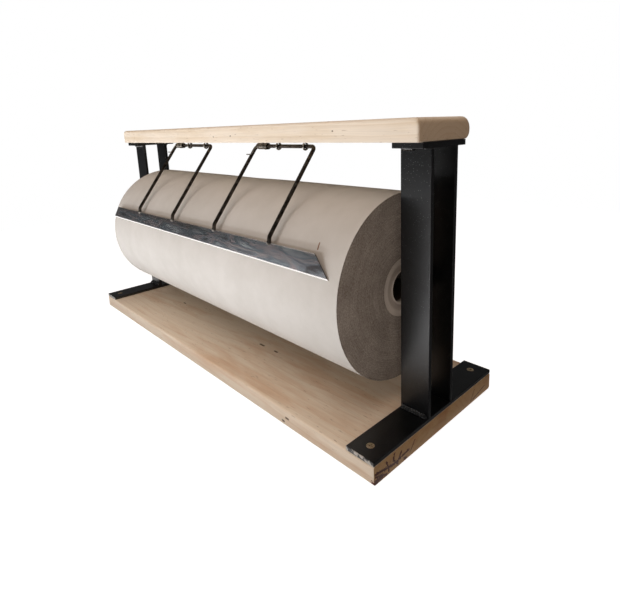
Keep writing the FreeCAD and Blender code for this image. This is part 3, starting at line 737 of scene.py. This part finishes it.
def spring_line(arm_x, down):
    """The centre line of a torsion spring: hook over the arm, leg, coil, and a foot up to the plank."""
    start_angle = math.atan2(-down.y, down.z) % (2 * math.pi)
    last_angle = -math.pi / 2 - 2 * math.pi * (spring_full_turns - 1)
    points_per_turn = 24
    rise = spring_pitch / (2 * math.pi)

    def coil(angle):
        x = arm_x + spring_from_arm + rise * (start_angle - angle)
        return Vector((x, pivot_y + spring_coil_radius * math.cos(angle),
                       pivot_z + spring_coil_radius * math.sin(angle)))

    def heading(angle):
        return Vector((rise, spring_coil_radius * math.sin(angle),
                       -spring_coil_radius * math.cos(angle))).normalized()

    top, top_heading = coil(start_angle), heading(start_angle)
    corner = top - top_heading * spring_leg
    tip = Vector((arm_x - bail_wire_radius - spring_hook_past_arm, corner.y, corner.z))
    leg = rounded_line([tip, corner, top], [spring_hook_radius])
    count = int(points_per_turn * (start_angle - last_angle) / (2 * math.pi))
    turns = [coil(start_angle + (last_angle - start_angle) * k / count) for k in range(1, count)]
    end, end_heading = coil(last_angle), heading(last_angle)
    foot_corner = end + end_heading * spring_foot_reach
    foot_tip = Vector((foot_corner.x, foot_corner.y, plank_underside - spring_plank_gap))
    return leg + turns + rounded_line([end, foot_corner, foot_tip], [spring_foot_radius])


def torsion_spring(name, bail_node, spring_node):
    """A spring whose foot stays at the plank and whose leg follows the bail."""
    arm_x, down = arm_line(bail_node, right_arm=False)
    vertices, faces = wire_skin(spring_line(arm_x, down), spring_wire_radius, 12)
    spring = new_piece(name, vertices, faces, spring_steel, None, 60)
    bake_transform(spring)
    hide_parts(spring_node)


torsion_spring("left_torsion_spring", "left_bail", "left_spring")
torsion_spring("right_torsion_spring", "right_bail", "right_spring")


def screw_eye(x):
    """A bent wire eye: a pointed shank in the plank and a ring that stops just short of it."""
    shank_steps, ring_steps = 8, 40
    ring_starts, ring_span = 30, 300
    side_lean = 0.5 * MM
    top = Vector((x, pivot_y, plank_underside + eye_shank_depth))
    neck = Vector((x, pivot_y, pivot_z + eye_ring_radius + 2.2 * MM))
    ring = []
    for k in range(ring_steps + 1):
        angle = math.radians(ring_starts + ring_span * k / ring_steps)
        lean = side_lean * (k / ring_steps - 0.5)
        ring.append(Vector((x + lean, pivot_y + eye_ring_radius * math.sin(angle),
                            pivot_z + eye_ring_radius * math.cos(angle))))
    shank = [top + (neck - top) * k / shank_steps for k in range(shank_steps + 1)]

    def taper(share):
        return min(1.0, 0.25 + share * 12)
    return wire_skin(shank + ring, eye_wire_radius, 12, taper)


def bail_eyes():
    """The four screw eyes, two for each bail."""
    made = []
    for node in ("left_bail", "right_bail"):
        left, right = arm_line(node, False)[0], arm_line(node, True)[0]
        made += [screw_eye(left + eye_from_left_arm), screw_eye(right - eye_from_right_arm)]
    eyes = new_piece("bail_screw_eyes", *joined(made), eye_steel, "stand", 60)
    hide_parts("bail_eyes")


bail_eyes()


# Weld beads

def weld_bead(x_low, x_high, corner_y, corner_z, outward, upward, leg, seed):
    """A fillet bead laid in overlapping ripples, with its ends drawn in."""
    ripple, ring_spacing, end_length, root_depth = 3.4 * MM, 0.45 * MM, 2.2 * MM, 0.5 * MM
    arc_steps = 8
    count = int((x_high - x_low) / ring_spacing)
    rings = []
    for k in range(count + 1):
        x = x_low + (x_high - x_low) * k / count
        from_end = min(x - x_low, x_high - x)
        draw_in = math.sqrt(min(1.0, from_end / end_length)) * 0.85 + 0.15
        phase = (x - x_low) / ripple + 0.25 * noise.noise(Vector((x * 300, seed, 0)))
        wave = 0.88 + 0.12 * abs(math.sin(math.pi * phase)) + 0.16 * noise.noise(Vector((x * 170, seed, 4)))
        size = leg * draw_in * wave
        ring = [Vector((x, corner_y - outward * root_depth, corner_z - upward * root_depth))]
        for step in range(arc_steps + 1):
            angle = math.pi / 2 * step / arc_steps
            bulge = 1 + 0.14 * math.sin(2 * angle) + 0.1 * noise.noise(Vector((x * 500, step * 0.8, seed)))
            reach = size * bulge
            flat = 0.88 + 0.12 * abs(math.cos(2 * angle))
            ring.append(Vector((x, corner_y + outward * reach * flat * math.cos(angle),
                                corner_z + upward * reach * flat * math.sin(angle))))
        rings.append(ring if outward * upward > 0 else ring[::-1])
    return skin(rings)


def spatter(x, y, z, radius):
    """A flattened droplet of weld metal on an upright's face."""
    rows, sides, flatness = 5, 10, 0.8
    rings = []
    for row in range(rows):
        polar = math.pi / 2 * (0.12 + 0.88 * row / (rows - 1))
        rings.append([Vector((x + radius * math.sin(polar) * math.cos(a),
                              y - radius * math.cos(polar) * flatness,
                              z + radius * math.sin(polar) * math.sin(a)))
                      for a in (2 * math.pi * k / sides for k in range(sides))])
    return skin(rings)


def frame_welds(side):
    """The beads at the foot and the top of one end frame's uprights, and the spatter below the top one."""
    drops, inset = 14, 1 * MM
    low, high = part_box(side + "_front_upright")
    back_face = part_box(side + "_rear_upright")[1].y
    start, end = low.x + inset, high.x - inset
    short_end = (low.x + high.x) / 2 if side == "right" else end
    seed = 7.0 if side == "right" else 31.0
    beads = [
        weld_bead(start, end, low.y, low.z, -1, 1, foot_bead_leg, seed),
        weld_bead(start, short_end, low.y, high.z, -1, -1, plate_bead_leg, seed + 3),
        weld_bead(start, end, back_face, low.z, 1, 1, foot_bead_leg, seed + 5),
        weld_bead(start, end, back_face, high.z, 1, -1, plate_bead_leg, seed + 9),
    ]
    for k in range(drops):
        scatter = [noise.noise(Vector((k * 1.7, seed, layer))) for layer in (0.0, 5.0, 9.0)]
        x = min(max((low.x + high.x) / 2 + scatter[0] * 26 * MM, start), end)
        z = high.z - 4 * MM - abs(scatter[1]) * 16 * MM
        beads.append(spatter(x, low.y, z, (0.35 + 0.5 * abs(scatter[2])) * MM))
    piece = new_piece(side + "_rippled_weld_beads", *joined(beads), bead_enamel, "stand", 70)
    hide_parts(side + "_frame_welds")


frame_welds("left")
frame_welds("right")


def blade_blob(x, centre, seed):
    """A small lump of weld round the foot of a bail arm, flattened towards the paper."""
    rings = []
    rows, sides, back_depth = 12, 20, 1.6 * MM
    for row in range(1, rows):
        polar = math.pi * row / rows
        ring = []
        for k in range(sides):
            angle = 2 * math.pi * k / sides
            way = Vector((math.cos(polar), math.sin(polar) * math.cos(angle),
                          math.sin(polar) * math.sin(angle)))
            lump = 0.92 + 0.16 * noise.noise(way * 2.1 + Vector((seed, 0, 0)))
            point = centre + way * blade_bead_radius * lump
            behind = (point - centre).dot(-blade_out)
            point += blade_out * max(0.0, behind - back_depth)
            ring.append(point)
        rings.append(ring)
    return skin(rings)


def blade_blobs():
    """The four lumps of weld where the bail arms end on the blade."""
    blobs = []
    for node in ("left_bail", "right_bail"):
        for right_arm in (False, True):
            x = arm_line(node, right_arm)[0]
            centre = blade_point(x, blade_width_at(x), blade_thickness / 2)
            blobs.append(blade_blob(x, centre, 3.1 + len(blobs) * 2.7))
    piece = new_piece("blade_weld_blobs", *joined(blobs), bead_steel, "blade_gate", 70)
    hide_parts("blade_welds")


blade_blobs()


# Finishes of the construction's own solids: those that are seen, and those that a piece above replaces

node_finishes = {
    "base_plank": base_pine, "top_plank": top_pine, "paper_roll": paper, "roll_core": board,
    "foot_screws": zinc, "plate_screws": zinc, "support_rod": rod_steel, "bail_eyes": eye_steel,
    "cutting_blade": blade_steel, "blade_welds": bead_steel,
}
for side in ("left_", "right_"):
    node_finishes[side + "bail"] = bail_steel
    node_finishes[side + "spring"] = spring_steel
    node_finishes[side + "frame_welds"] = bead_enamel
    for part in ("foot", "front_upright", "rear_upright", "top_plate", "rod_cradle"):
        node_finishes[side + part] = frame_enamel
for node_name, finish in node_finishes.items():
    slots = frame["nodes"][node_name].data.materials
    slots.clear()
    slots.append(finish)


# Stage: a white floor in a white world, with the light from low in front as in the photograph. Black cloth
# that only gloss and metal show keeps the enamel and the steel as dark as they are there.

def seen_or_mirrored(tree):
    """1 where the camera sees a place itself or in gloss, metal or glass, and 0 where it only lights."""
    path = add(tree, "LightPath")
    mirrored = add(tree, "Math", {0: path.outputs["Is Glossy Ray"], 1: path.outputs["Is Transmission Ray"]},
                   operation="MAXIMUM")
    return add(tree, "Math", {0: path.outputs["Is Camera Ray"], 1: mirrored}, operation="MAXIMUM")


def white_paint(name, glow):
    """Matt white that the camera and reflections see as plain white, and that still takes a soft shadow."""
    finish, tree, shader, _ = new_finish(name, 0.9)
    shader.inputs["Base Color"].default_value = colour("#e6ecf4")
    lit = add(tree, "Math", {0: seen_or_mirrored(tree), 1: glow}, operation="MULTIPLY")
    shader.inputs["Emission Color"].default_value = (1, 1, 1, 1)
    tree.links.new(lit.outputs[0], shader.inputs["Emission Strength"])
    return finish


def stage_floor():
    """A square floor, in small squares."""
    reach, steps = 1.5, 40
    places = [reach * (2 * k / steps - 1) for k in range(steps + 1)]
    rows = [[Vector((x, y, 0.0)) for x in places] for y in places]
    squares = skin(rows, cap_ends=False, closed=False)
    floor = new_piece("floor", *squares, white_paint("white_floor", 0.86), None)


def black_flag():
    """Black cloth in a ring round the stand and on the ground to its right, with a faint, uneven painted
    glow.
    """
    radius, height, sides = 1.0, 1.7, 72
    ground = ((0.366, -0.3), (1.3, -0.3), (1.3, 1.3), (0.366, 1.3))
    above_floor = 1 * MM
    cloth, tree, shader, place = new_finish("black_flag_cloth", 1.0, 0.0)
    shader.inputs["Base Color"].default_value = (0, 0, 0, 1)
    # A painted glow: the cloth shines faintly and unevenly, standing in for light on folds.
    uneven_glow = add(tree, "TexNoise", {"Vector": place, "Scale": 2.5, "Detail": 3.0})
    glow = add(tree, "MapRange", {"Value": uneven_glow, "From Min": 0.3, "From Max": 0.7,
                                  "To Min": 0.02, "To Max": 0.12})
    shader.inputs["Emission Color"].default_value = (1, 1, 1, 1)
    tree.links.new(glow.outputs[0], shader.inputs["Emission Strength"])
    angles = [2 * math.pi * k / sides - math.pi for k in range(sides + 1)]
    rings = [[Vector((-radius * math.sin(a), -radius * math.cos(a), z)) for a in angles]
             for z in (0.0, height)]
    sheet = [Vector((x, y, above_floor)) for x, y in ground]
    drapes = joined([skin(rings, cap_ends=False, closed=False), (sheet, [(0, 1, 2, 3)])])
    flag = new_piece("black_flag", *drapes, cloth, None)
    flag.visible_camera = flag.visible_diffuse = flag.visible_shadow = False


def area_light(name, place, target, size, power, tint, mirrored):
    """A soft rectangular lamp that the camera doesn't see. Gloss shows it only if it is mirrored."""
    data = bpy.data.lights.new(name, "AREA")
    data.shape = "RECTANGLE"
    data.size, data.size_y = size
    data.energy = power
    data.color = colour(tint)[:3]
    lamp = bpy.data.objects.new(name, data)
    bpy.context.scene.collection.objects.link(lamp)
    lamp.location = place
    lamp.rotation_euler = (Vector(target) - Vector(place)).to_track_quat("-Z", "Y").to_euler()
    lamp.visible_camera = False
    lamp.visible_glossy = mirrored


def world_light(strength, tint):
    """Dim warm light from all round on the object, and plain white where it is seen or mirrored."""
    world = bpy.data.worlds.new("studio")
    world.use_nodes = True
    tree = world.node_tree
    seen = seen_or_mirrored(tree)
    level = add(tree, "MapRange", {"Value": seen, "To Min": strength, "To Max": 1.0})
    hue = add(tree, "Mix", {"Factor": seen, "A": tint, "B": (1, 1, 1, 1)})
    background = tree.nodes["Background"]
    tree.links.new(level.outputs[0], background.inputs["Strength"])
    tree.links.new(next(one for one in hue.outputs if one.enabled), background.inputs["Color"])
    bpy.context.scene.world = world


stage_floor()
daylight, warm_light = "#fbfcff", "#ffe9d9"
area_light("low_window", (-0.65, -3.0, 0.35), (0, 0, 0.18), (1.2, 0.55), 19.0, daylight, mirrored=False)
area_light("near_ground", (-0.27, -0.34, 0.005), (-0.27, -0.34, 1.0), (1.24, 0.2), 2.0, daylight,
           mirrored=True)
area_light("far_ground", (-0.25, -0.62, 0.005), (-0.25, -0.62, 1.0), (1.3, 0.2), 4.2, daylight,
           mirrored=True)
area_light("ceiling", (0.3, -0.6, 1.75), (0, 0, 0), (1.6, 1.6), 12.5, warm_light, mirrored=False)
black_flag()
world_light(0.19, "#ffead8")


# Camera at the photograph's place

camera_place = (0.61508, -0.41727, 0.35152)
camera_turn_degrees = (77.845, -2.110, 46.319)
camera_lens_mm = 26.63
camera_shift = (-0.0245, -0.1231)

camera = bpy.data.objects.new("camera", bpy.data.cameras.new("camera"))
bpy.context.scene.collection.objects.link(camera)
tip, roll, turn = (math.radians(angle) for angle in camera_turn_degrees)
aim = Matrix.Rotation(turn, 4, "Z") @ Matrix.Rotation(tip, 4, "X") @ Matrix.Rotation(roll, 4, "Z")
camera.matrix_world = Matrix.Translation(camera_place) @ aim
camera.data.lens = camera_lens_mm
camera.data.shift_x, camera.data.shift_y = camera_shift
bpy.context.scene.camera = camera
bpy.context.scene.view_settings.view_transform = "Standard"
